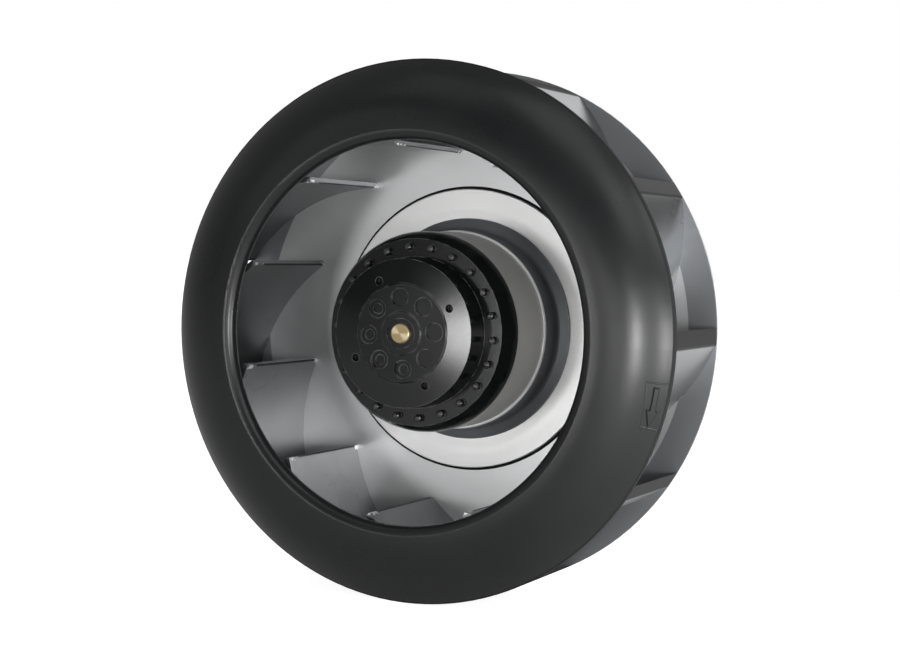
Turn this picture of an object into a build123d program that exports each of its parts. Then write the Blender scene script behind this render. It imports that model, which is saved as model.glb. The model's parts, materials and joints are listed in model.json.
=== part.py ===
from build123d import *
import os
from math import acos, atan2, cos, degrees, hypot, pi, radians, sin, sqrt

os.makedirs("parts", exist_ok=True)

# Motorised impeller with an external-rotor motor, in millimetres.
# Frame: the shaft lies along Y, the inlet faces -Y, +Z is up as it stands in use.
# The origin is the centre of the motor flange's rear face. A "depth" is a distance in front of that face.

# Wheel
wheel_diameter = 220.0
outlet_height = 55.0  # from the back plate's front face to the front edge of the shroud's rim
back_clearance = 4.0  # from the mounting face to the back plate
plate_wall = 1.5

# Shroud: one arc from the rim to the crown, then a lip rolled into the inlet
shroud_wall = 2.0
rim_edge = 2.0  # height of the rim's outer edge
crown_radius = 81.0  # where the shroud stands highest
crown_height = 69.3  # above the back plate's front face
lip_radius = 4.0
lip_return = 45.0  # degrees that the lip turns back past its narrowest point

# Blades: each is one arc between its angles at the inner radius and at the rim
blade_count = 11
blade_inner_radius = 75.2
blade_inlet_angle = 36.1  # degrees between the blade and the tangent at its leading edge
blade_outlet_angle = 20.2  # the same at the rim
blade_wall = 2.3
blade_nose_round = 0.2
blade_first_angle = 63.0  # where the first blade's leading edge stands, counter-clockwise from +X
blade_front = 61.0  # height of the leading edge
blade_notch_radius = 82.3  # out to here the blade stays below the rolled lip
blade_overrun = 6.0  # degrees that the blade is drawn past the rim before it is trimmed

# Hub
plate_bore_radius = 46.0
ring_outer_radius = 59.8
ring_wall = 1.5
ring_chamfer = 0.3
groove_width = 1.2  # in the back plate, round the clamp ring
groove_depth = 0.8
cone_base_radius = 47.2
cone_base_height = 2.8  # above the back plate's front face
cone_corner_radius = 42.6  # where the flange turns up into the wall
cone_corner_height = 4.6
cone_corner_round = 1.6
cone_top_radius = 41.9
cone_height = 16.3
cone_top_chamfer = 0.4

# Rotor
skirt_radius = 40.0
skirt_wall = 1.4
skirt_back = -0.5  # the skirt's rear edge, measured from the back plate's front face
sleeve_wall = 1.0
sleeve_front = 44.3  # above the back plate's front face
nose_radius = 41.1
nose_bulge = 0.7  # how far the nose's side stands out from a straight taper
ledge_radius = 38.0
ledge_height = 54.0
step_foot_radius = 30.6
face_radius = 29.9
face_height = 65.7
disc_radius = 19.5
disc_foot_height = 66.2
disc_height = 66.8
disc_slope = 0.6  # how much wider the disc is at its foot
boss_radius = 8.4
boss_height = 67.3
boss_slope = 0.5
boss_recess_radius = 6.0
boss_recess_depth = 0.6
cap_wall = 3.0
cap_face_wall = 5.2
inner_boss_radius = 5.9
inner_boss_root = 9.0

pin_count = 22
pin_radius = 1.6
pin_shift = 0.3  # outwards from the middle of the ledge
pin_height = 2.8
pin_round = 1.1
pin_first_angle = -2.0

pocket_count = 8
pocket_radius = 3.7
pocket_circle = 14.4
pocket_depth = 0.9
pocket_first_angle = 5.0
pocket_pilot_radius = 2.0
pocket_pilot_depth = 0.6
pilot_pocket_first = 3  # the pockets from this one on have a pilot hole
pilot_pocket_count = 4

balance_hole_count = 4
balance_hole_radius = 1.65
balance_hole_circle = 23.0
balance_hole_depth = 3.5
balance_hole_angle = 28.5

# Electrical pack
air_gap = 0.4
core_outer_radius = 33.0
core_back = 9.0  # heights above the back plate's front face
core_front = 42.0
slot_count = 24
slot_width = 3.0
slot_inner_radius = 19.5
slot_outer_radius = 30.5
slot_mouth = 1.2
insulator_wall = 1.3
insulator_outer_radius = 32.0
winding_inner_radius = 18.0
winding_outer_radius = 31.0
winding_head = 6.0
winding_round = 2.0
bar_clearance = 0.2  # between the winding and its slot
cage_ring_height = 5.0
cage_bar_count = 22
cage_bar_width = 1.8
cage_bar_depth = 2.8
cutout_length = 13.0
cutout_width = 5.5
cutout_height = 2.6
cutout_circle = 22.5
cutout_angle = 90.0

# Shaft and bearings
shaft_radius = 4.0
shaft_back_depth = 2.6
shaft_front_height = 68.2
shaft_chamfer = 0.4
bearing_outer_radius = 11.0
bearing_width = 7.0
bearing_inner_land = 6.05
bearing_outer_land = 8.95
ball_count = 7
ball_radius = 1.98
ball_circle = 7.5
ball_clearance = 0.1
cage_wall = 1.5
cage_width = 5.6
shield_inner_radius = 6.35
shield_wall = 0.35
shield_inset = 0.15
rear_bearing_depth = 4.5
front_bearing_height = 49.0
shoulder_radius = 9.2
washer_wall = 0.8
circlip_wall = 0.8
circlip_outer_radius = 5.7
circlip_groove = 0.3
circlip_gap_angle = 60.0
dust_cap_wall = 0.8
dust_cap_depth = 0.7

# Motor flange
flange_radius = 44.0
flange_rim_wall = 4.0
flange_core_radius = 37.4
flange_core_wall = 6.0
flange_chamfer = 0.6
tube_wall = 3.0
tube_front_gap = 0.5  # the tube ends this far behind the front bearing's face
recess_inner_radius = 14.5
recess_outer_radius = 34.0
recess_depth = 1.0
pad_radius = 5.2
fixing_count = 4
fixing_circle = 24.0
fixing_radius = 1.65
fixing_first_angle = 45.0
grommet_circle = 24.0
grommet_angle = 270.0
grommet_hole_radius = 4.5
grommet_bore_radius = 3.0
grommet_flange_radius = 5.6
grommet_flange_wall = 0.9

# Depths that several pieces share
plate_front = back_clearance + plate_wall
wheel_radius = wheel_diameter / 2
sleeve_radius = skirt_radius + sleeve_wall
rotor_core_inner = core_outer_radius + air_gap
rotor_core_outer = skirt_radius - skirt_wall
pin_circle = (step_foot_radius + ledge_radius) / 2 + pin_shift
cage_front = core_front + cage_ring_height
bearing_front_depth = plate_front + front_bearing_height
tube_outer_radius = bearing_outer_radius + tube_wall
tube_front_depth = bearing_front_depth + bearing_width - tube_front_gap

# Local x is the radius and local y the depth
half_section = Plane(origin=(0, 0, 0), x_dir=(1, 0, 0), z_dir=(0, 0, -1))


def at_depth(depth):
    """A plane square to the shaft that looks to the front."""
    return Plane.XZ.offset(depth)


def at_height(height):
    """The same, measured from the back plate's front face."""
    return at_depth(plate_front + height)


def up(radius, height):
    """A point of the half section, its height measured from the back plate's front face."""
    return (radius, plate_front + height)


def polar(radius, angle):
    return (radius * cos(radians(angle)), radius * sin(radians(angle)))


def turned(*outline, mode=Mode.ADD):
    """A closed outline in the half section, turned round the shaft's axis."""
    with BuildSketch(half_section) as face:
        with BuildLine():
            Polyline(*outline, close=True)
        make_face()
    revolve(face.sketch, axis=Axis.Y, mode=mode)


def ring(inner, outer, back, front, mode=Mode.ADD):
    turned((inner, back), (outer, back), (outer, front), (inner, front), mode=mode)


# Shroud: the main arc is level at the crown and passes through the front edge of the rim
rim_run = wheel_radius - crown_radius
rim_drop = crown_height - outlet_height
shroud_arc = (rim_run**2 + rim_drop**2) / (2 * rim_drop)
arc_centre = crown_height - shroud_arc
underside_arc = shroud_arc - shroud_wall
foot_height = outlet_height - rim_edge
foot_radius = crown_radius + sqrt(underside_arc**2 - (foot_height - arc_centre) ** 2)
rim_direction = degrees(atan2(outlet_height - arc_centre, rim_run))
foot_direction = degrees(atan2(foot_height - arc_centre, foot_radius - crown_radius))
notch_run = blade_notch_radius - crown_radius
notch_height = arc_centre + sqrt(underside_arc**2 - notch_run**2)
notch_direction = degrees(atan2(notch_height - arc_centre, notch_run))

with BuildPart() as inlet_shroud:
    with BuildSketch(half_section):
        with BuildLine():
            arc_middle = up(crown_radius, arc_centre)
            lip_middle = up(crown_radius, crown_height - lip_radius)
            crown = CenterArc(arc_middle, shroud_arc, rim_direction, 90 - rim_direction)
            lip = CenterArc(lip_middle, lip_radius, 90, 90 + lip_return)
            lip_inside = CenterArc(lip_middle, lip_radius - shroud_wall, 90, 90 + lip_return)
            underside = CenterArc(arc_middle, underside_arc, foot_direction, 90 - foot_direction)
            Line(lip @ 1, lip_inside @ 1)
            Polyline(underside @ 0, up(wheel_radius, foot_height), crown @ 0)
        make_face()
    revolve(axis=Axis.Y)
inlet_shroud.part.label = "inlet_shroud"
export_step(inlet_shroud.part, "parts/inlet_shroud.step")

# Blades: the leading edge runs along the shaft, and the arc's centre lies square to the blade there
outlet_run = wheel_radius * cos(radians(blade_outlet_angle))
inlet_run = blade_inner_radius * cos(radians(blade_inlet_angle))
blade_arc_radius = (wheel_radius**2 - blade_inner_radius**2) / (2 * (outlet_run - inlet_run))
heading = blade_first_angle + 90 - blade_inlet_angle
blade_start = polar(blade_inner_radius, blade_first_angle)
to_centre = polar(blade_arc_radius, heading + 90)
blade_centre = (blade_start[0] + to_centre[0], blade_start[1] + to_centre[1])
centre_distance = hypot(*blade_centre)
centre_direction = degrees(atan2(blade_centre[1], blade_centre[0]))
tip_excess = wheel_radius**2 - centre_distance**2 - blade_arc_radius**2
tip_cosine = tip_excess / (2 * centre_distance * blade_arc_radius)
nose_direction = heading - 90
tip_direction = centre_direction - degrees(acos(tip_cosine))
blade_sweep = tip_direction - nose_direction + blade_overrun

with BuildPart() as blade:
    with BuildSketch(at_height(0)):
        with BuildLine():
            hub_side = CenterArc(blade_centre, blade_arc_radius, nose_direction, blade_sweep)
            rim_side = CenterArc(blade_centre, blade_arc_radius + blade_wall, nose_direction, blade_sweep)
            Line(hub_side @ 0, rim_side @ 0)
            Line(hub_side @ 1, rim_side @ 1)
        make_face()
    extrude(amount=crown_height)
    upright_edges = blade.edges().filter_by(Axis.Y)
    nose_edges = upright_edges.sort_by(lambda edge: hypot(edge.center().X, edge.center().Z))[:2]
    fillet(nose_edges, blade_nose_round)
    # Trimmed to the room between the back plate and the shroud, clear of the rolled lip
    with BuildSketch(half_section):
        with BuildLine():
            inner_limit = blade_inner_radius - blade_wall
            under = CenterArc(arc_middle, underside_arc, foot_direction, notch_direction - foot_direction)
            Polyline(
                under @ 1,
                up(blade_notch_radius, blade_front),
                up(inner_limit, blade_front),
                up(inner_limit, 0),
                up(wheel_radius, 0),
                up(wheel_radius, foot_height),
                under @ 0,
            )
        make_face()
    revolve(axis=Axis.Y, mode=Mode.INTERSECT)

for number in range(blade_count):
    with BuildPart() as blade_copy:
        add(blade.part, rotation=(0, -number * 360 / blade_count, 0))
    blade_name = f"blade_{number + 1:02d}"
    blade_copy.part.label = blade_name
    export_step(blade_copy.part, f"parts/{blade_name}.step")

with BuildPart() as back_plate:
    ring(plate_bore_radius, wheel_radius, back_clearance, plate_front)
    groove_floor = plate_front - groove_depth
    ring(ring_outer_radius, ring_outer_radius + groove_width, groove_floor, plate_front, Mode.SUBTRACT)
back_plate.part.label = "back_plate"
export_step(back_plate.part, "parts/back_plate.step")

# Hub: a clamp ring on the plate, and a flanged collar that rises from it to the rotor's sleeve
with BuildPart() as clamp_ring:
    turned(
        up(skirt_radius, 0),
        up(ring_outer_radius, 0),
        up(ring_outer_radius, ring_wall - ring_chamfer),
        up(ring_outer_radius - ring_chamfer, ring_wall),
        up(skirt_radius, ring_wall),
    )
clamp_ring.part.label = "clamp_ring"
export_step(clamp_ring.part, "parts/clamp_ring.step")

with BuildPart() as hub_cone:
    with BuildSketch(half_section):
        with BuildLine():
            FilletPolyline(
                up(cone_base_radius, cone_base_height),
                up(cone_corner_radius, cone_corner_height),
                up(cone_top_radius, cone_height - cone_top_chamfer),
                radius=cone_corner_round,
            )
            Polyline(
                up(cone_top_radius, cone_height - cone_top_chamfer),
                up(cone_top_radius - cone_top_chamfer, cone_height),
                up(skirt_radius, cone_height),
                up(skirt_radius, ring_wall),
                up(cone_base_radius, ring_wall),
                up(cone_base_radius, cone_base_height),
            )
        make_face()
    revolve(axis=Axis.Y)
hub_cone.part.label = "hub_cone"
export_step(hub_cone.part, "parts/hub_cone.step")

with BuildPart() as rotor_sleeve:
    ring(skirt_radius, sleeve_radius, plate_front + cone_height, plate_front + sleeve_front)
rotor_sleeve.part.label = "rotor_sleeve"
export_step(rotor_sleeve.part, "parts/rotor_sleeve.step")

# Rotor cap: a cup whose nose steps in twice, with cast pins on the ledge and pockets in the face
inner_boss_height = front_bearing_height + bearing_width
with BuildPart() as rotor_cap:
    with BuildSketch(half_section):
        with BuildLine():
            side_radius = (nose_radius + ledge_radius) / 2 + nose_bulge
            side_middle = up(side_radius, (sleeve_front + ledge_height) / 2)
            ThreePointArc(up(nose_radius, sleeve_front), side_middle, up(ledge_radius, ledge_height))
            Polyline(
                up(ledge_radius, ledge_height),
                up(step_foot_radius, ledge_height),
                up(face_radius, face_height),
                up(disc_radius + disc_slope, disc_foot_height),
                up(disc_radius, disc_height),
                up(boss_radius + boss_slope, disc_height),
                up(boss_radius, boss_height),
                up(boss_recess_radius, boss_height),
                up(boss_recess_radius, boss_height - boss_recess_depth),
                up(shaft_radius, boss_height - boss_recess_depth),
                up(shaft_radius, inner_boss_height),
                up(inner_boss_radius, inner_boss_height),
                up(inner_boss_root, disc_height - cap_face_wall),
                up(step_foot_radius - cap_wall, disc_height - cap_face_wall),
                up(step_foot_radius - cap_wall, ledge_height - cap_wall),
                up(ledge_radius - cap_wall, ledge_height - cap_wall),
                up(rotor_core_outer, cage_front),
                up(rotor_core_outer, skirt_back),
                up(skirt_radius, skirt_back),
                up(skirt_radius, sleeve_front),
                up(nose_radius, sleeve_front),
            )
        make_face()
    revolve(axis=Axis.Y)
    with BuildSketch(at_height(disc_height)):
        with PolarLocations(pocket_circle, pocket_count, start_angle=pocket_first_angle):
            Circle(pocket_radius)
    extrude(amount=-pocket_depth, mode=Mode.SUBTRACT)
    pocket_step = 360 / pocket_count
    pilot_start = pocket_first_angle + pilot_pocket_first * pocket_step
    pilot_range = pilot_pocket_count * pocket_step
    with BuildSketch(at_height(disc_height - pocket_depth)):
        with PolarLocations(pocket_circle, pilot_pocket_count, pilot_start, pilot_range):
            Circle(pocket_pilot_radius)
    extrude(amount=-pocket_pilot_depth, mode=Mode.SUBTRACT)
    with BuildSketch(at_height(disc_height)):
        with PolarLocations(balance_hole_circle, balance_hole_count, start_angle=balance_hole_angle):
            Circle(balance_hole_radius)
    extrude(amount=-balance_hole_depth, mode=Mode.SUBTRACT)
    with BuildSketch(at_height(ledge_height)):
        with PolarLocations(pin_circle, pin_count, start_angle=pin_first_angle):
            Circle(pin_radius)
    extrude(amount=pin_height)
    pin_top = -(plate_front + ledge_height + pin_height)
    top_edges = rotor_cap.edges().filter_by_position(Axis.Y, pin_top - pin_radius / 2, pin_top + pin_radius / 2)
    pin_edges = top_edges.filter_by(lambda edge: edge.length < 2 * pi * (pin_radius + air_gap))
    fillet(pin_edges, pin_round)
rotor_cap.part.label = "rotor_cap"
export_step(rotor_cap.part, "parts/rotor_cap.step")

# Squirrel cage: two end rings and the bars between them, cast through the laminated ring
core_length = core_front - core_back
cage_bar_circle = (rotor_core_inner + rotor_core_outer) / 2


def cage_bars():
    """The bars' outlines, shared by the cage and the ring that it is cast through."""
    with PolarLocations(cage_bar_circle, cage_bar_count):
        Rectangle(cage_bar_depth, cage_bar_width)


with BuildPart() as rotor_core:
    ring(rotor_core_inner, rotor_core_outer, plate_front + core_back, plate_front + core_front)
    with BuildSketch(at_height(core_back)):
        cage_bars()
    extrude(amount=core_length, mode=Mode.SUBTRACT)
rotor_core.part.label = "rotor_core"
export_step(rotor_core.part, "parts/rotor_core.step")

with BuildPart() as rotor_cage:
    with BuildSketch(at_height(core_back)):
        cage_bars()
    extrude(amount=core_length)
    for ring_back in (core_back - cage_ring_height, core_front):
        ring_depth = plate_front + ring_back
        ring(rotor_core_inner, rotor_core_outer, ring_depth, ring_depth + cage_ring_height)
rotor_cage.part.label = "rotor_cage"
export_step(rotor_cage.part, "parts/rotor_cage.step")

# Shaft, pressed into the cap's boss and held behind the rear bearing
shaft_front_depth = plate_front + shaft_front_height
circlip_depth = rear_bearing_depth - circlip_wall
groove_radius = shaft_radius - circlip_groove
with BuildPart() as shaft:
    turned(
        (0, shaft_back_depth),
        (shaft_radius - shaft_chamfer, shaft_back_depth),
        (shaft_radius, shaft_back_depth + shaft_chamfer),
        (shaft_radius, circlip_depth),
        (groove_radius, circlip_depth),
        (groove_radius, rear_bearing_depth),
        (shaft_radius, rear_bearing_depth),
        (shaft_radius, shaft_front_depth - shaft_chamfer),
        (shaft_radius - shaft_chamfer, shaft_front_depth),
        (0, shaft_front_depth),
    )
shaft.part.label = "shaft"
export_step(shaft.part, "parts/shaft.step")

with BuildPart() as circlip:
    ring(groove_radius, circlip_outer_radius, circlip_depth, rear_bearing_depth)
    with BuildSketch(at_depth(circlip_depth)):
        with BuildLine():
            gap_start = polar(2 * circlip_outer_radius, -circlip_gap_angle / 2)
            gap_end = polar(2 * circlip_outer_radius, circlip_gap_angle / 2)
            Polyline((0, 0), gap_start, gap_end, close=True)
        make_face()
    extrude(amount=circlip_wall, mode=Mode.SUBTRACT)
circlip.part.label = "circlip"
export_step(circlip.part, "parts/circlip.step")


def ball_bearing(side, back):
    """Deep-groove bearing: rings, a row of balls in a ribbon cage, and a shield on each side."""
    front = back + bearing_width
    middle = back + bearing_width / 2

    def race():
        with BuildSketch(half_section) as groove:
            with Locations((ball_circle, middle)):
                Circle(ball_radius + ball_clearance)
        revolve(groove.sketch, axis=Axis.Y, mode=Mode.SUBTRACT)

    with BuildPart() as outer_ring:
        ring(bearing_outer_land, bearing_outer_radius, back, front)
        race()
    outer_ring.part.label = side + "_bearing_outer_ring"
    export_step(outer_ring.part, "parts/" + side + "_bearing_outer_ring.step")

    with BuildPart() as inner_ring:
        ring(shaft_radius, bearing_inner_land, back, front)
        race()
    inner_ring.part.label = side + "_bearing_inner_ring"
    export_step(inner_ring.part, "parts/" + side + "_bearing_inner_ring.step")

    with BuildPart(at_depth(middle)) as balls:
        with PolarLocations(ball_circle, ball_count):
            Sphere(ball_radius)
    balls.part.label = side + "_bearing_balls"
    export_step(balls.part, "parts/" + side + "_bearing_balls.step")

    cage_inner = ball_circle - cage_wall / 2
    cage_outer = ball_circle + cage_wall / 2
    with BuildPart(at_depth(middle)) as ball_cage:
        ring(cage_inner, cage_outer, middle - cage_width / 2, middle + cage_width / 2)
        seat_radius = ball_radius + ball_clearance
        with PolarLocations(ball_circle, ball_count):
            Cylinder(seat_radius, 2 * ball_radius, rotation=(0, 90, 0), mode=Mode.SUBTRACT)
    ball_cage.part.label = side + "_bearing_cage"
    export_step(ball_cage.part, "parts/" + side + "_bearing_cage.step")

    with BuildPart() as shields:
        for shield_back in (back + shield_inset, front - shield_inset - shield_wall):
            ring(shield_inner_radius, bearing_outer_land, shield_back, shield_back + shield_wall)
    shields.part.label = side + "_bearing_shields"
    export_step(shields.part, "parts/" + side + "_bearing_shields.step")


ball_bearing("rear", rear_bearing_depth)
ball_bearing("front", bearing_front_depth)

# Motor flange with its bearing tube
rear_shoulder = rear_bearing_depth + bearing_width
front_shoulder = bearing_front_depth - washer_wall
with BuildPart() as motor_flange:
    turned(
        (bearing_outer_radius, 0),
        (flange_radius - flange_chamfer, 0),
        (flange_radius, flange_chamfer),
        (flange_radius, flange_rim_wall),
        (flange_core_radius, flange_rim_wall),
        (flange_core_radius, flange_core_wall),
        (tube_outer_radius, flange_core_wall),
        (tube_outer_radius, tube_front_depth),
        (bearing_outer_radius, tube_front_depth),
        (bearing_outer_radius, front_shoulder),
        (shoulder_radius, front_shoulder),
        (shoulder_radius, rear_shoulder),
        (bearing_outer_radius, rear_shoulder),
    )
    # Shallow recess in the rear face, with a pad left round each tapped hole
    with BuildSketch(at_depth(0)):
        Circle(recess_outer_radius)
        Circle(recess_inner_radius, mode=Mode.SUBTRACT)
        with PolarLocations(fixing_circle, fixing_count, start_angle=fixing_first_angle):
            Circle(pad_radius, mode=Mode.SUBTRACT)
    extrude(amount=recess_depth, mode=Mode.SUBTRACT)
    with BuildSketch(at_depth(0)):
        with PolarLocations(fixing_circle, fixing_count, start_angle=fixing_first_angle):
            Circle(fixing_radius)
        with Locations(polar(grommet_circle, grommet_angle)):
            Circle(grommet_hole_radius)
    extrude(amount=flange_core_wall, mode=Mode.SUBTRACT)
motor_flange.part.label = "motor_flange"
export_step(motor_flange.part, "parts/motor_flange.step")

with BuildPart() as cable_grommet:
    with BuildSketch(at_depth(recess_depth - grommet_flange_wall)):
        with Locations(polar(grommet_circle, grommet_angle)):
            Circle(grommet_flange_radius)
    extrude(amount=grommet_flange_wall)
    with BuildSketch(at_depth(recess_depth)):
        with Locations(polar(grommet_circle, grommet_angle)):
            Circle(grommet_hole_radius)
    extrude(amount=flange_core_wall - recess_depth)
    with BuildSketch(at_depth(flange_core_wall)):
        with Locations(polar(grommet_circle, grommet_angle)):
            Circle(grommet_flange_radius)
    extrude(amount=grommet_flange_wall)
    with BuildSketch(at_depth(0)):
        with Locations(polar(grommet_circle, grommet_angle)):
            Circle(grommet_bore_radius)
    extrude(amount=flange_core_wall + grommet_flange_wall, mode=Mode.SUBTRACT)
cable_grommet.part.label = "cable_grommet"
export_step(cable_grommet.part, "parts/cable_grommet.step")

with BuildPart() as dust_cap:
    ring(0, bearing_outer_radius, dust_cap_depth, dust_cap_depth + dust_cap_wall)
dust_cap.part.label = "dust_cap"
export_step(dust_cap.part, "parts/dust_cap.step")

with BuildPart() as preload_washer:
    ring(shoulder_radius, bearing_outer_radius, front_shoulder, bearing_front_depth)
preload_washer.part.label = "preload_washer"
export_step(preload_washer.part, "parts/preload_washer.step")

# Stator: slotted core on the bearing tube, an insulator on each end and one winding through the slots
slot_length = slot_outer_radius - slot_inner_radius
slot_circle = (slot_outer_radius + slot_inner_radius) / 2


def slots(clearance, mode):
    """Radial slots, each narrower all round by the clearance."""
    with PolarLocations(slot_circle, slot_count):
        Rectangle(slot_length - 2 * clearance, slot_width - 2 * clearance, mode=mode)


with BuildPart() as stator_core:
    with BuildSketch(at_height(core_back)):
        Circle(core_outer_radius)
        Circle(tube_outer_radius, mode=Mode.SUBTRACT)
        slots(0, Mode.SUBTRACT)
        with PolarLocations((slot_outer_radius + core_outer_radius) / 2, slot_count):
            Rectangle(core_outer_radius - slot_outer_radius + slot_mouth, slot_mouth, mode=Mode.SUBTRACT)
    extrude(amount=core_length)
stator_core.part.label = "stator_core"
export_step(stator_core.part, "parts/stator_core.step")

for end_name, end_height in (("rear", core_back - insulator_wall), ("front", core_front)):
    with BuildPart() as insulator:
        with BuildSketch(at_height(end_height)):
            Circle(insulator_outer_radius)
            Circle(tube_outer_radius, mode=Mode.SUBTRACT)
            slots(0, Mode.SUBTRACT)
        extrude(amount=insulator_wall)
    insulator.part.label = "insulator_" + end_name
    export_step(insulator.part, "parts/insulator_" + end_name + ".step")

winding_back = core_back - insulator_wall - winding_head
winding_front = core_front + insulator_wall
winding_circle = (winding_inner_radius + winding_outer_radius) / 2
winding_depth = winding_outer_radius - winding_inner_radius
with BuildPart() as stator_winding:
    for head_back in (winding_back, winding_front):
        head_depth = plate_front + head_back
        with BuildSketch(half_section):
            with Locations((winding_circle, head_depth + winding_head / 2)):
                RectangleRounded(winding_depth, winding_head, winding_round)
        revolve(axis=Axis.Y)
    with BuildSketch(at_height(winding_back + winding_head / 2)):
        slots(bar_clearance, Mode.ADD)
    extrude(amount=winding_front - winding_back)
stator_winding.part.label = "stator_winding"
export_step(stator_winding.part, "parts/stator_winding.step")

with BuildPart() as thermal_cutout:
    with BuildSketch(at_height(winding_front + winding_head)):
        with Locations(polar(cutout_circle, cutout_angle)):
            Rectangle(cutout_length, cutout_width)
    extrude(amount=cutout_height)
thermal_cutout.part.label = "thermal_cutout"
export_step(thermal_cutout.part, "parts/thermal_cutout.step")
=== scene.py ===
import json
import math

import bpy
import numpy as np
from mathutils import Matrix, Vector


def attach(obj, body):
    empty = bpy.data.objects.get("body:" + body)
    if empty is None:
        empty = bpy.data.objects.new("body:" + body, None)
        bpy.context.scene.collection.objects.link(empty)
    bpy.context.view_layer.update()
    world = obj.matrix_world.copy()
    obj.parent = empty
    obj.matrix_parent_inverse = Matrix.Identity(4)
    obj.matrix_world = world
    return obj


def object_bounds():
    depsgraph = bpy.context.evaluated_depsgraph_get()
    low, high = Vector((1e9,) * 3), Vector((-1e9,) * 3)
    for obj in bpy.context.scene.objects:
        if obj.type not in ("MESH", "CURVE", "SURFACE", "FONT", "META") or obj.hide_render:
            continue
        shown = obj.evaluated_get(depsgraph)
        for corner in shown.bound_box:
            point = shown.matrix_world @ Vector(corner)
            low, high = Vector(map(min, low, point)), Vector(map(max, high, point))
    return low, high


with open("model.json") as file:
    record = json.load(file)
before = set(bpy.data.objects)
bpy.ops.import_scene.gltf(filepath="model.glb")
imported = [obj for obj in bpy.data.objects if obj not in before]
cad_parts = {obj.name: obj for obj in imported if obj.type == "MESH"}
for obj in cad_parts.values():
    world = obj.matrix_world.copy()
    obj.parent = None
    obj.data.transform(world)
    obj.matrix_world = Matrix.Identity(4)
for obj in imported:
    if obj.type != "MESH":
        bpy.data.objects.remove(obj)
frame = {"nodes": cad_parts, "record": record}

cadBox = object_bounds()
scene = bpy.context.scene
scene.view_settings.view_transform = "Standard"

mm = 0.001
plateDepth = 5.5 * mm  # from the mounting face to the front of the back plate

print("stage: camera")
camera = {
    "lens": 76.16,
    "place": (0.32863, -0.75354, 0.04160),
    "turn": 24.28,  # degrees to the right of straight in front
    "tilt": 3.06,
    "roll": -2.38,
}
cameraData = bpy.data.cameras.new("photoCamera")
cameraData.lens = camera["lens"]
cameraData.sensor_width = 36.0
cameraData.clip_start = 0.05
cameraData.clip_end = 20.0
cameraObject = bpy.data.objects.new("photoCamera", cameraData)
scene.collection.objects.link(cameraObject)
upright = Matrix.Rotation(math.radians(90), 4, "X")
turned = Matrix.Rotation(math.radians(camera["turn"]), 4, "Y")
tilted = Matrix.Rotation(math.radians(-camera["tilt"]), 4, "X")
rolled = Matrix.Rotation(math.radians(-camera["roll"]), 4, "Z")
cameraObject.matrix_world = Matrix.Translation(camera["place"]) @ upright @ turned @ tilted @ rolled
scene.camera = cameraObject


def addNode(tree, kind, settings=(), **inputs):
    node = tree.nodes.new(kind)
    for name, value in dict(settings).items():
        setattr(node, name, value)
    for name, value in inputs.items():
        socket = node.inputs[int(name[1:])] if name[0] == "i" and name[1:].isdigit() else node.inputs[name]
        if isinstance(value, bpy.types.NodeSocket):
            tree.links.new(value, socket)
        else:
            socket.default_value = value
    return node


def mathNode(tree, operation, first, second=0.0, third=0.0, clamp=False):
    settings = {"operation": operation, "use_clamp": clamp}
    return addNode(tree, "ShaderNodeMath", settings, i0=first, i1=second, i2=third).outputs[0]


def mixColour(tree, factor, first, second, blend="MIX"):
    node = tree.nodes.new("ShaderNodeMix")
    node.data_type = "RGBA"
    node.blend_type = blend
    node.clamp_factor = True
    for index, value in ((0, factor), (6, first), (7, second)):
        if isinstance(value, bpy.types.NodeSocket):
            tree.links.new(value, node.inputs[index])
        else:
            node.inputs[index].default_value = value
    return node.outputs[2]


def spread(tree, value, low, high, toLow=0.0, toHigh=1.0):
    node = addNode(tree, "ShaderNodeMapRange", {"clamp": True}, i0=value, i1=low, i2=high, i3=toLow, i4=toHigh)
    return node.outputs[0]


def newGroup(name, inputs, outputs):
    group = bpy.data.node_groups.new(name, "ShaderNodeTree")
    for socketName, kind, value in inputs:
        socket = group.interface.new_socket(name=socketName, in_out="INPUT", socket_type=kind)
        if value is not None:
            socket.default_value = value
    for socketName, kind in outputs:
        group.interface.new_socket(name=socketName, in_out="OUTPUT", socket_type=kind)
    return group, group.nodes.new("NodeGroupInput").outputs, group.nodes.new("NodeGroupOutput").inputs


print("stage: shared effects")
floatSocket, vectorSocket = "NodeSocketFloat", "NodeSocketVector"

# Fine grain: two sizes of noise added up, as a height and as a mask of patches
grainGroup, given, wanted = newGroup(
    "fineGrain",
    [("Vector", vectorSocket, None), ("Grain", floatSocket, 1500.0), ("Patch", floatSocket, 25.0)],
    [("Height", floatSocket), ("Patches", floatSocket)],
)
grain = addNode(grainGroup, "ShaderNodeTexNoise", Vector=given["Vector"], Scale=given["Grain"], Detail=3.0, Roughness=0.6)
patch = addNode(grainGroup, "ShaderNodeTexNoise", Vector=given["Vector"], Scale=given["Patch"], Detail=4.0, Roughness=0.55)
grainGroup.links.new(grain.outputs[0], wanted["Height"])
grainGroup.links.new(spread(grainGroup, patch.outputs[0], 0.3, 0.7), wanted["Patches"])

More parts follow.
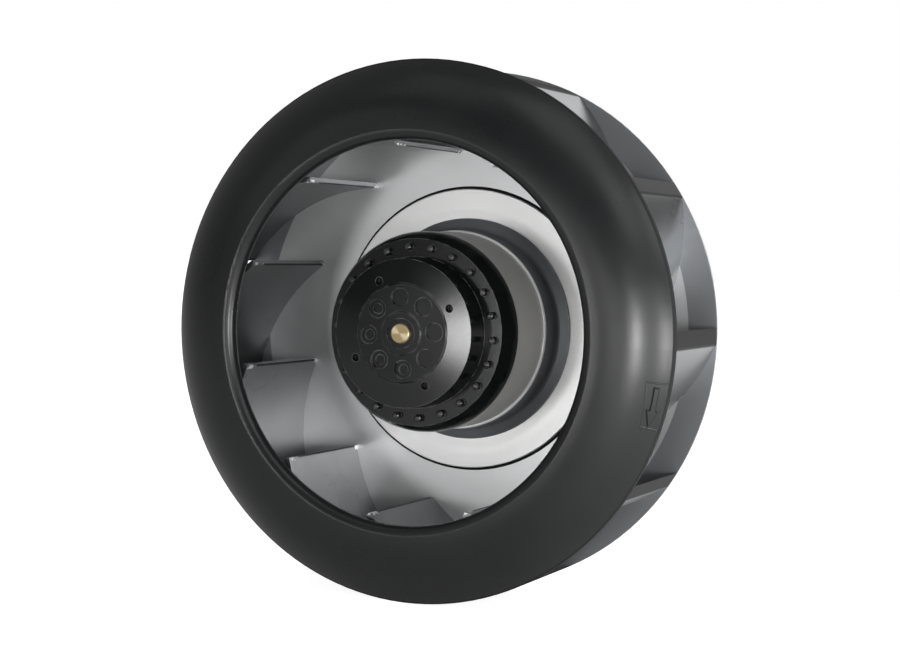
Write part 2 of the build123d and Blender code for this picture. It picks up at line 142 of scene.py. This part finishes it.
# Edge wear: where the rounded normal leaves the true one an edge is near, broken up by noise
wearGroup, given, wanted = newGroup(
    "edgeWear",
    [("Vector", vectorSocket, None), ("Reach", floatSocket, 0.0006), ("Breaks", floatSocket, 300.0)],
    [("Mask", floatSocket)],
)
roundNormal = addNode(wearGroup, "ShaderNodeBevel", {"samples": 4}, Radius=given["Reach"])
trueNormal = wearGroup.nodes.new("ShaderNodeNewGeometry")
agreement = addNode(wearGroup, "ShaderNodeVectorMath", {"operation": "DOT_PRODUCT"},
                    i0=roundNormal.outputs[0], i1=trueNormal.outputs["Normal"])
edge = spread(wearGroup, agreement.outputs["Value"], 0.98, 0.80)
breaks = addNode(wearGroup, "ShaderNodeTexNoise", Vector=given["Vector"], Scale=given["Breaks"], Detail=2.0)
broken = spread(wearGroup, breaks.outputs[0], 0.38, 0.6)
wearGroup.links.new(mathNode(wearGroup, "MULTIPLY", edge, broken), wanted["Mask"])

# Turned rings: noise that changes only with the distance from the shaft
ringGroup, given, wanted = newGroup(
    "turnedRings",
    [("Vector", vectorSocket, None), ("Rings", floatSocket, 4000.0)],
    [("Height", floatSocket), ("Bands", floatSocket)],
)
parts = addNode(ringGroup, "ShaderNodeSeparateXYZ", Vector=given["Vector"])
across = mathNode(ringGroup, "MULTIPLY", parts.outputs[0], parts.outputs[0])
away = mathNode(ringGroup, "MULTIPLY_ADD", parts.outputs[2], parts.outputs[2], across)
radius = mathNode(ringGroup, "SQRT", away)
along = mathNode(ringGroup, "ADD", radius, parts.outputs[1])
fineRings = addNode(ringGroup, "ShaderNodeTexNoise", {"noise_dimensions": "1D"}, W=along, Scale=given["Rings"], Detail=2.0)
wideRings = addNode(ringGroup, "ShaderNodeTexNoise", {"noise_dimensions": "1D"}, W=along, Scale=180.0, Detail=1.0)
ringGroup.links.new(fineRings.outputs[0], wanted["Height"])
ringGroup.links.new(spread(ringGroup, wideRings.outputs[0], 0.3, 0.7), wanted["Bands"])


# Place on the wheel: distance from the shaft, distance in front of the mounting face, angle round the shaft
placeGroup, given, wanted = newGroup(
    "wheelPlace", [("Vector", vectorSocket, None)],
    [("Radius", floatSocket), ("Depth", floatSocket), ("Angle", floatSocket)],
)
parts = addNode(placeGroup, "ShaderNodeSeparateXYZ", Vector=given["Vector"])
across = mathNode(placeGroup, "MULTIPLY", parts.outputs[0], parts.outputs[0])
away = mathNode(placeGroup, "MULTIPLY_ADD", parts.outputs[2], parts.outputs[2], across)
placeGroup.links.new(mathNode(placeGroup, "SQRT", away), wanted["Radius"])
placeGroup.links.new(mathNode(placeGroup, "MULTIPLY", parts.outputs[1], -1.0), wanted["Depth"])
placeGroup.links.new(mathNode(placeGroup, "ARCTAN2", parts.outputs[2], parts.outputs[0]), wanted["Angle"])


def useGroup(tree, group, vector, **values):
    node = tree.nodes.new("ShaderNodeGroup")
    node.node_tree = group
    tree.links.new(vector, node.inputs["Vector"])
    for name, value in values.items():
        node.inputs[name].default_value = value
    return node.outputs


# Every finish: two tones, colour and strength of the edge wear, roughness range, size and depth of the grain
finishes = {
    "shroudBlack": dict(tone=(0.008, 0.0085, 0.009), tone2=(0.0105, 0.011, 0.0115), edge=(0.05, 0.05, 0.05), wear=0.35,
                        rough=(0.26, 0.31), grain=1400.0, depth=0.00002, metal=0.0, level=0.42),
    "plateMetal": dict(tone=(0.66, 0.665, 0.67), tone2=(0.76, 0.765, 0.77), edge=(0.85, 0.85, 0.85), wear=0.3,
                       rough=(0.36, 0.46), grain=1200.0, depth=0.0000015, metal=0.8, level=0.5),
    # the blades are the back plate's metal; their darker tone paints the shade on the blade faces
    "bladeMetal": dict(tone=(0.19, 0.195, 0.20), tone2=(0.25, 0.255, 0.26), edge=(0.8, 0.8, 0.8), wear=0.6,
                       rough=(0.26, 0.34), grain=900.0, depth=0.0000012, metal=0.95, level=0.5),
    "brightRing": dict(tone=(0.84, 0.84, 0.835), tone2=(0.9, 0.9, 0.895), edge=(0.9, 0.9, 0.9), wear=0.3,
                       rough=(0.38, 0.44), grain=2500.0, depth=0.000003, metal=0.8, level=0.5, rings=3000.0),
    "collarGrey": dict(tone=(0.15, 0.155, 0.165), tone2=(0.19, 0.195, 0.205), edge=(0.6, 0.6, 0.6), wear=0.7,
                       rough=(0.32, 0.42), grain=1500.0, depth=0.00001, metal=0.3, level=0.5),
    "sleeveGrey": dict(tone=(0.5, 0.495, 0.48), tone2=(0.57, 0.565, 0.55), edge=(0.9, 0.9, 0.9), wear=0.5,
                       rough=(0.32, 0.42), grain=2500.0, depth=0.000004, metal=0.8, level=0.5, rings=2500.0),
    "rotorBlack": dict(tone=(0.003, 0.0035, 0.0035), tone2=(0.0045, 0.005, 0.005), edge=(0.22, 0.22, 0.22), wear=0.65,
                       rough=(0.13, 0.18), grain=700.0, depth=0.00001, metal=0.0, level=0.5),
    "lamination": dict(tone=(0.2, 0.2, 0.21), tone2=(0.28, 0.28, 0.29), edge=(0.5, 0.5, 0.5), wear=0.3,
                       rough=(0.4, 0.55), grain=1500.0, depth=0.00001, metal=1.0, level=0.5),
    "castAlloy": dict(tone=(0.5, 0.5, 0.5), tone2=(0.6, 0.6, 0.6), edge=(0.8, 0.8, 0.8), wear=0.3,
                      rough=(0.45, 0.6), grain=900.0, depth=0.00003, metal=1.0, level=0.5),
    # painted reflection: the shaft end's bow-tie of two brighter sectors, in its edge colour
    "shaftBrass": dict(tone=(0.25, 0.19, 0.1), tone2=(0.31, 0.24, 0.13), edge=(0.8, 0.72, 0.5), wear=0.5, bowTieHighlight=0.45,
                       rough=(0.28, 0.36), grain=2500.0, depth=0.000004, metal=0.9, level=0.5, rings=6000.0),
    "springSteel": dict(tone=(0.3, 0.3, 0.31), tone2=(0.38, 0.38, 0.4), edge=(0.6, 0.6, 0.6), wear=0.3,
                        rough=(0.3, 0.4), grain=2000.0, depth=0.000004, metal=1.0, level=0.5),
    "flangeAlloy": dict(tone=(0.48, 0.485, 0.49), tone2=(0.56, 0.565, 0.57), edge=(0.85, 0.85, 0.85), wear=0.6,
                        rough=(0.36, 0.48), grain=1200.0, depth=0.00002, metal=1.0, level=0.5, rings=2200.0),
    "grommetRubber": dict(tone=(0.02, 0.02, 0.02), tone2=(0.03, 0.03, 0.03), edge=(0.06, 0.06, 0.06), wear=0.3,
                          rough=(0.6, 0.75), grain=1500.0, depth=0.00003, metal=0.0, level=0.4),
    "zincSteel": dict(tone=(0.55, 0.57, 0.58), tone2=(0.65, 0.66, 0.67), edge=(0.85, 0.85, 0.85), wear=0.4,
                      rough=(0.3, 0.4), grain=1800.0, depth=0.000006, metal=1.0, level=0.5),
    "insulatorPlastic": dict(tone=(0.6, 0.57, 0.45), tone2=(0.68, 0.65, 0.53), edge=(0.8, 0.78, 0.7), wear=0.3,
                             rough=(0.45, 0.55), grain=1200.0, depth=0.00002, metal=0.0, level=0.5),
    "windingCopper": dict(tone=(0.5, 0.2, 0.08), tone2=(0.6, 0.27, 0.12), edge=(0.8, 0.4, 0.2), wear=0.3,
                          rough=(0.25, 0.4), grain=900.0, depth=0.00008, metal=1.0, level=0.5),
    "bearingSteel": dict(tone=(0.65, 0.65, 0.67), tone2=(0.72, 0.72, 0.74), edge=(0.85, 0.85, 0.85), wear=0.2,
                         rough=(0.12, 0.2), grain=3000.0, depth=0.000002, metal=1.0, level=0.5),
}


# Marks that a finish bears in one region of the wheel, most of them painted shade or painted highlights: radius and
# depth from and to in millimetres, the share of it that noise of that size breaks up, its colour and its roughness
marks = {
    # painted shade: the shroud's rim end darkened to a near-black line
    "shroudBlack": [dict(radius=(109.3, 112), depth=(50, 70), breakup=0.0, noise=300.0, colour=(0.003, 0.003, 0.003),
                         rough=0.75)],
    # painted shade: the blades' leading edges darkened from the back plate up to the lip
    "bladeMetal": [dict(radius=(73, 75.6), depth=(5, 59), breakup=0.0, noise=300.0, colour=(0.05, 0.05, 0.05), rough=0.6),
                   # painted highlight: white flecks on the leading edges just under the shroud's lip
                   dict(radius=(73, 76.1), depth=(59, 70), breakup=0.5, noise=320.0, colour=(0.92, 0.92, 0.92), rough=0.4),
                   # painted highlight: white flecks on the leading edges at their feet on the back plate
                   dict(radius=(73, 76.3), depth=(5, 8), breakup=0.45, noise=400.0, colour=(0.8, 0.8, 0.8), rough=0.4),
                   # painted shade: the blades' outer edges at the rim darkened to a dark line
                   dict(radius=(109.6, 112), depth=(5, 70), breakup=0.0, noise=300.0, colour=(0.035, 0.035, 0.035), rough=0.6)],
    # the balance pins' tips lighter in broken flecks: worn paint and a painted highlight
    "rotorBlack": [dict(radius=(31, 38), depth=(61.6, 64), breakup=0.4, noise=500.0, colour=(0.03, 0.03, 0.03), rough=0.2)],
    # painted highlight: a white line along the collar's top edge
    "collarGrey": [dict(radius=(40.9, 42.3), depth=(21.3, 23), breakup=0.0, noise=300.0, colour=(0.95, 0.95, 0.95),
                        rough=0.35)],
    # painted shade: the groove round the clamp ring darkened to near-black
    "plateMetal": [dict(radius=(59.75, 61.05), depth=(4, 5.35), breakup=0.0, noise=300.0, colour=(0.02, 0.02, 0.02),
                        rough=0.7),
                   # painted shade: the back plate darker in its outer band, from 98 mm out
                   dict(radius=(98, 112), depth=(5.1, 6), breakup=0.0, noise=300.0, colour=(0.36, 0.37, 0.385),
                        rough=0.36)],
}


def makeFinish(name, values):
    material = bpy.data.materials.new(name)
    material.use_nodes = True
    tree = material.node_tree
    shader = tree.nodes["Principled BSDF"]
    place = tree.nodes.new("ShaderNodeTexCoord").outputs["Object"]
    grained = useGroup(tree, grainGroup, place, Grain=values["grain"])
    worn = useGroup(tree, wearGroup, place)
    tones = mixColour(tree, grained["Patches"], (*values["tone"], 1), (*values["tone2"], 1))
    wearAmount = mathNode(tree, "MULTIPLY", worn["Mask"], values["wear"])
    colour = mixColour(tree, wearAmount, tones, (*values["edge"], 1))
    low, high = values["rough"]
    rough = mathNode(tree, "MULTIPLY_ADD", grained["Patches"], high - low, low)
    for mark in marks.get(name, []):
        where = useGroup(tree, placeGroup, place)
        mask = 1.0
        for socket, (start, end) in (("Radius", mark["radius"]), ("Depth", mark["depth"])):
            fromStart = spread(tree, where[socket], (start - 0.1) * mm, (start + 0.1) * mm)
            beforeEnd = spread(tree, where[socket], (end + 0.1) * mm, (end - 0.1) * mm)
            mask = mathNode(tree, "MULTIPLY", mask, mathNode(tree, "MULTIPLY", fromStart, beforeEnd))
        if mark["breakup"]:
            flecks = addNode(tree, "ShaderNodeTexNoise", Vector=place, Scale=mark["noise"], Detail=1.0).outputs[0]
            mask = mathNode(tree, "MULTIPLY", mask, spread(tree, flecks, mark["breakup"], mark["breakup"] + 0.06))
        colour = mixColour(tree, mask, colour, (*mark["colour"], 1))
        roughStep = mathNode(tree, "SUBTRACT", mark["rough"], rough)
        rough = mathNode(tree, "MULTIPLY_ADD", mask, roughStep, rough)
    # painted reflection: the bow-tie sheen of the turned shaft end, painted in as colour
    if "bowTieHighlight" in values:  # two brighter sectors that face each other round the shaft
        angle = useGroup(tree, placeGroup, place)["Angle"]
        sectors = mathNode(tree, "COSINE", mathNode(tree, "MULTIPLY_ADD", angle, 2.0, 0.9))
        sectors = mathNode(tree, "MULTIPLY", spread(tree, sectors, 0.2, 1.0), values["bowTieHighlight"])
        colour = mixColour(tree, sectors, colour, (*values["edge"], 1))
    tree.links.new(colour, shader.inputs["Base Color"])
    height = grained["Height"]
    if "rings" in values:
        ringed = useGroup(tree, ringGroup, place, Rings=values["rings"])
        height = mathNode(tree, "MULTIPLY_ADD", ringed["Height"], 1.5, height)
        rough = mathNode(tree, "MULTIPLY_ADD", ringed["Bands"], 0.05, rough)
    if "outline" in values:
        step = addNode(tree, "ShaderNodeAttribute", {"attribute_name": "outline"}).outputs["Fac"]
        rough = mathNode(tree, "MULTIPLY_ADD", step, mathNode(tree, "SUBTRACT", values["outline"], rough), rough)
    tree.links.new(rough, shader.inputs["Roughness"])
    bump = addNode(tree, "ShaderNodeBump", Strength=1.0, Distance=values["depth"], Height=height)
    tree.links.new(bump.outputs[0], shader.inputs["Normal"])
    shader.inputs["Metallic"].default_value = values["metal"]
    shader.inputs["Specular IOR Level"].default_value = values["level"]
    return material


materials = {name: makeFinish(name, values) for name, values in finishes.items()}

# The record's material slots and the finishes that stand for them
slotFinish = {
    "shroud_black": "shroudBlack", "impeller_metal": "bladeMetal", "bright_ring": "brightRing",
    "cone_dark": "collarGrey", "sleeve_grey": "sleeveGrey", "rotor_black": "rotorBlack", "lamination": "lamination",
    "cast_alloy": "castAlloy", "shaft_brass": "shaftBrass", "spring_steel": "springSteel",
    "flange_alloy": "flangeAlloy", "grommet_rubber": "grommetRubber", "zinc_steel": "zincSteel",
    "insulator_plastic": "insulatorPlastic", "winding_copper": "windingCopper", "bearing_steel": "bearingSteel",
}
for subpart in frame["record"]["subparts"]:
    node = frame["nodes"][subpart["node"]]
    finish = materials[slotFinish[subpart["material_slot"]]]
    # the back plate takes the lighter copy of the impeller metal; the blades keep the darker one, which paints their
    # shade
    if subpart["node"] == "back_plate":
        finish = materials["plateMetal"]
    if not node.material_slots:
        node.data.materials.append(finish)
    for slot in node.material_slots:
        slot.material = finish


print("stage: rotation arrow")
arrow = {  # sizes in millimetres, angles in degrees round the shaft
    "angle": -11.85,  # the plaque's middle
    "along": 27.4,  # from the crown along the shroud's arc to the plaque's middle
    "width": 9.0,
    "length": 17.8,
    "narrowing": 2.0,  # how much narrower the plaque is at its lower end, on the inlet's side
    "frameRelief": 0.12,
    "arrowRelief": 0.5,
    "frameLine": 0.5,
    "shank": 1.8,
    "headWidth": 4.2,
    "margin": 0.5,
}
crownRadius, crownArc, crownMiddle = 81.0, 36.55, 32.75 + 5.5  # the shroud's arc, from the CAD
plaqueRadius = crownRadius + crownArc * math.sin(arrow["along"] / crownArc)
halfWide = arrow["width"] / 2 + arrow["margin"]
halfLong = arrow["length"] / 2 + arrow["margin"]
across, around = np.meshgrid(np.linspace(-halfWide, halfWide, 121), np.linspace(-halfLong, halfLong, 221), indexing="ij")
upward = around / halfLong  # -1 at the lower end of the plaque, 1 at the upper end
leftEdge = -arrow["width"] / 2 + arrow["narrowing"] * (1 - upward) / 2


def raisedWhere(distance):
    share = np.clip(0.5 - distance / 0.22, 0, 1)
    return share ** 2 * (3 - 2 * share)


# Distance to the frame's line: how far outside or inside the rectangle's border, less half the line
middle = (leftEdge + arrow["width"] / 2) / 2
outside = np.maximum(np.abs(across - middle) - (arrow["width"] / 2 - leftEdge) / 2, np.abs(around) - arrow["length"] / 2)
toFrame = np.abs(outside) - arrow["frameLine"] / 2
# The shank is a bar from the tail to the head, and the head a triangle that narrows towards its tip
tailEnd, headStart, tipEnd = 6.9, -2.0, -7.8
centreLine = 0.35 - 0.03 * (around - tipEnd)
toShank = np.maximum(np.abs(across - centreLine) - arrow["shank"] / 2, np.maximum(around - tailEnd, headStart - 0.5 - around))
headHalf = arrow["headWidth"] / 2 * (around - tipEnd) / (headStart - tipEnd)
toHead = np.maximum((np.abs(across - centreLine + 0.2) - headHalf) * 0.93, around - headStart)
relief = np.maximum(arrow["frameRelief"] * raisedWhere(toFrame),
                    arrow["arrowRelief"] * raisedWhere(np.minimum(toShank, toHead)))
border = np.minimum(halfWide - np.abs(across), halfLong - np.abs(around))
lift = np.where(border < 0.02, -0.15, 0.03 + relief)  # the rim of the sheet is sunk into the shroud
arcAngle = (arrow["along"] + across) / crownArc
turnAngle = math.radians(arrow["angle"]) + around / plaqueRadius
outward = crownRadius + (crownArc + lift) * np.sin(arcAngle)
depth = crownMiddle + (crownArc + lift) * np.cos(arcAngle)
points = np.stack([outward * np.cos(turnAngle), -depth, outward * np.sin(turnAngle)], axis=-1).reshape(-1, 3) * mm
rows, columns = across.shape
corner = (np.arange(rows - 1)[:, None] * columns + np.arange(columns - 1)[None, :]).ravel()
faces = np.stack([corner, corner + 1, corner + columns + 1, corner + columns], axis=1)
arrowMesh = bpy.data.meshes.new("rotationArrow")
arrowMesh.from_pydata(points, [], faces)
arrowMesh.polygons.foreach_set("use_smooth", np.ones(len(faces), dtype=bool))
outline = np.clip(1.6 - np.abs(np.minimum(toShank, toHead) - 0.22) / 0.3, 0, 1)
arrowMesh.attributes.new("outline", "FLOAT", "POINT").data.foreach_set("value", outline.ravel().astype(np.float32))
finishes["arrowBlack"] = dict(finishes["shroudBlack"], outline=0.9)  # duller in the step round the arrow
arrowMesh.materials.append(makeFinish("arrowBlack", finishes["arrowBlack"]))
arrowPiece = bpy.data.objects.new("rotationArrow", arrowMesh)
scene.collection.objects.link(arrowPiece)
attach(arrowPiece, "rotor")

print("stage: floor and light")
studio = {
    "floorColour": (0.8, 0.8, 0.8),
    "floorGlowNear": 0.86,  # the white that the camera sees under the wheel, where its shadow still shows
    "floorGlowFar": 1.0,
    "floorGlossLeft": 0.1,  # how much of that white a glossy surface mirrors on either side
    "floorGlossRight": 1.0,
    "ambient": 0.3,
    "glossRight": 0.5,  # how bright a glossy surface sees the room on each side
    "glossLeft": 0.25,
    "glossBack": 0.15,
    "glossTop": 0.2,
}
floorLevel = cadBox[0].z
floorMaterial = bpy.data.materials.new("paperFloor")
floorMaterial.use_nodes = True
tree = floorMaterial.node_tree
shader = tree.nodes["Principled BSDF"]
shader.inputs["Base Color"].default_value = (*studio["floorColour"], 1)
shader.inputs["Roughness"].default_value = 0.9
shader.inputs["Specular IOR Level"].default_value = 0.1
shader.inputs["Emission Strength"].default_value = 1.0
rays = tree.nodes.new("ShaderNodeLightPath").outputs
place = tree.nodes.new("ShaderNodeTexCoord").outputs["Object"]
distance = addNode(tree, "ShaderNodeVectorMath", {"operation": "LENGTH"}, i0=place).outputs["Value"]
glow = spread(tree, distance, 0.25, 0.9, studio["floorGlowNear"], studio["floorGlowFar"])
seen = mathNode(tree, "MAXIMUM", rays["Is Camera Ray"], rays["Is Transmission Ray"])
side = addNode(tree, "ShaderNodeSeparateXYZ", Vector=place).outputs[0]
mirrored = spread(tree, side, 0.05, 0.25, studio["floorGlossLeft"], studio["floorGlossRight"])
seen = mathNode(tree, "MAXIMUM", seen, mathNode(tree, "MULTIPLY", rays["Is Glossy Ray"], mirrored))
tree.links.new(mixColour(tree, mathNode(tree, "MULTIPLY", seen, glow), (0, 0, 0, 1), (1, 1, 1, 1)),
               shader.inputs["Emission Color"])
floorMesh = bpy.data.meshes.new("floor")
reach = 6.0
floorMesh.from_pydata([(-reach, -reach, floorLevel), (reach, -reach, floorLevel), (reach, reach, floorLevel),
                       (-reach, reach, floorLevel)], [], [(0, 1, 2, 3)])
floorMesh.materials.append(floorMaterial)
floorObject = bpy.data.objects.new("floor", floorMesh)
scene.collection.objects.link(floorObject)

world = bpy.data.worlds.new("studio")
scene.world = world
world.use_nodes = True
tree = world.node_tree
rays = tree.nodes.new("ShaderNodeLightPath").outputs
direction = addNode(tree, "ShaderNodeSeparateXYZ", Vector=tree.nodes.new("ShaderNodeTexCoord").outputs["Generated"])
sideLevel = 0.0
for axis, sign, side in ((0, 1, "glossRight"), (0, -1, "glossLeft"), (1, 1, "glossBack"), (2, 1, "glossTop")):
    towards = spread(tree, direction.outputs[axis], 0.0, sign)  # the square of the part that points to that side
    squared = mathNode(tree, "MULTIPLY", towards, towards)
    sideLevel = mathNode(tree, "MULTIPLY_ADD", squared, studio[side], sideLevel)
glossLevel = mathNode(tree, "MULTIPLY", rays["Is Glossy Ray"], sideLevel)
plainLevel = mathNode(tree, "MULTIPLY", mathNode(tree, "SUBTRACT", 1.0, rays["Is Glossy Ray"]), studio["ambient"])
seen = mathNode(tree, "MAXIMUM", rays["Is Camera Ray"], rays["Is Transmission Ray"])
level = mathNode(tree, "MAXIMUM", mathNode(tree, "ADD", glossLevel, plainLevel), seen)
background = tree.nodes["Background"]
background.inputs["Color"].default_value = (1, 1, 1, 1)
tree.links.new(level, background.inputs["Strength"])

lamps = {  # degrees to the right of straight in front, degrees up, side in metres, power in watts; 1 m away
    "keyLamp": (40.0, -1.0, 0.14, 3.3),
    "frontSoftbox": (16.0, -1.0, 0.30, 0.8),
    "centreSoftbox": (2.0, 4.0, 0.25, 0.35),
    "ringSoftbox": (-14.0, -2.5, 0.13, 1.0),
    "leftSoftbox": (-36.0, 20.0, 0.40, 0.2),
    "rightFrontSoftbox": (60.0, -1.0, 0.42, 1.5),
    "rightSoftbox": (75.0, -1.0, 0.20, 2.6),
    "edgeSoftbox": (100.0, -1.0, 0.25, 1.6),
    "rightHighSoftbox": (85.0, 33.0, 0.36, 0.8),
    "rightTopSoftbox": (54.0, 36.0, 0.36, 0.65),
    "topSoftbox": (40.0, 62.0, 0.50, 0.7),
    "topLeftSoftbox": (-30.0, 58.0, 0.45, 0.2),
    "backSoftbox": (165.0, 30.0, 0.60, 1.5),
}
aim = Vector((0, -0.04, 0))
for name, (turn, rise, size, power) in lamps.items():
    turn, rise = math.radians(turn), math.radians(rise)
    outTo = Vector((math.sin(turn) * math.cos(rise), -math.cos(turn) * math.cos(rise), math.sin(rise)))
    lampData = bpy.data.lights.new(name, "AREA")
    lampData.shape = "SQUARE"
    lampData.size = size
    lampData.energy = power
    lamp = bpy.data.objects.new(name, lampData)
    scene.collection.objects.link(lamp)
    lamp.location = aim + outTo
    lamp.rotation_mode = "QUATERNION"
    lamp.rotation_quaternion = outTo.to_track_quat("Z", "Y")
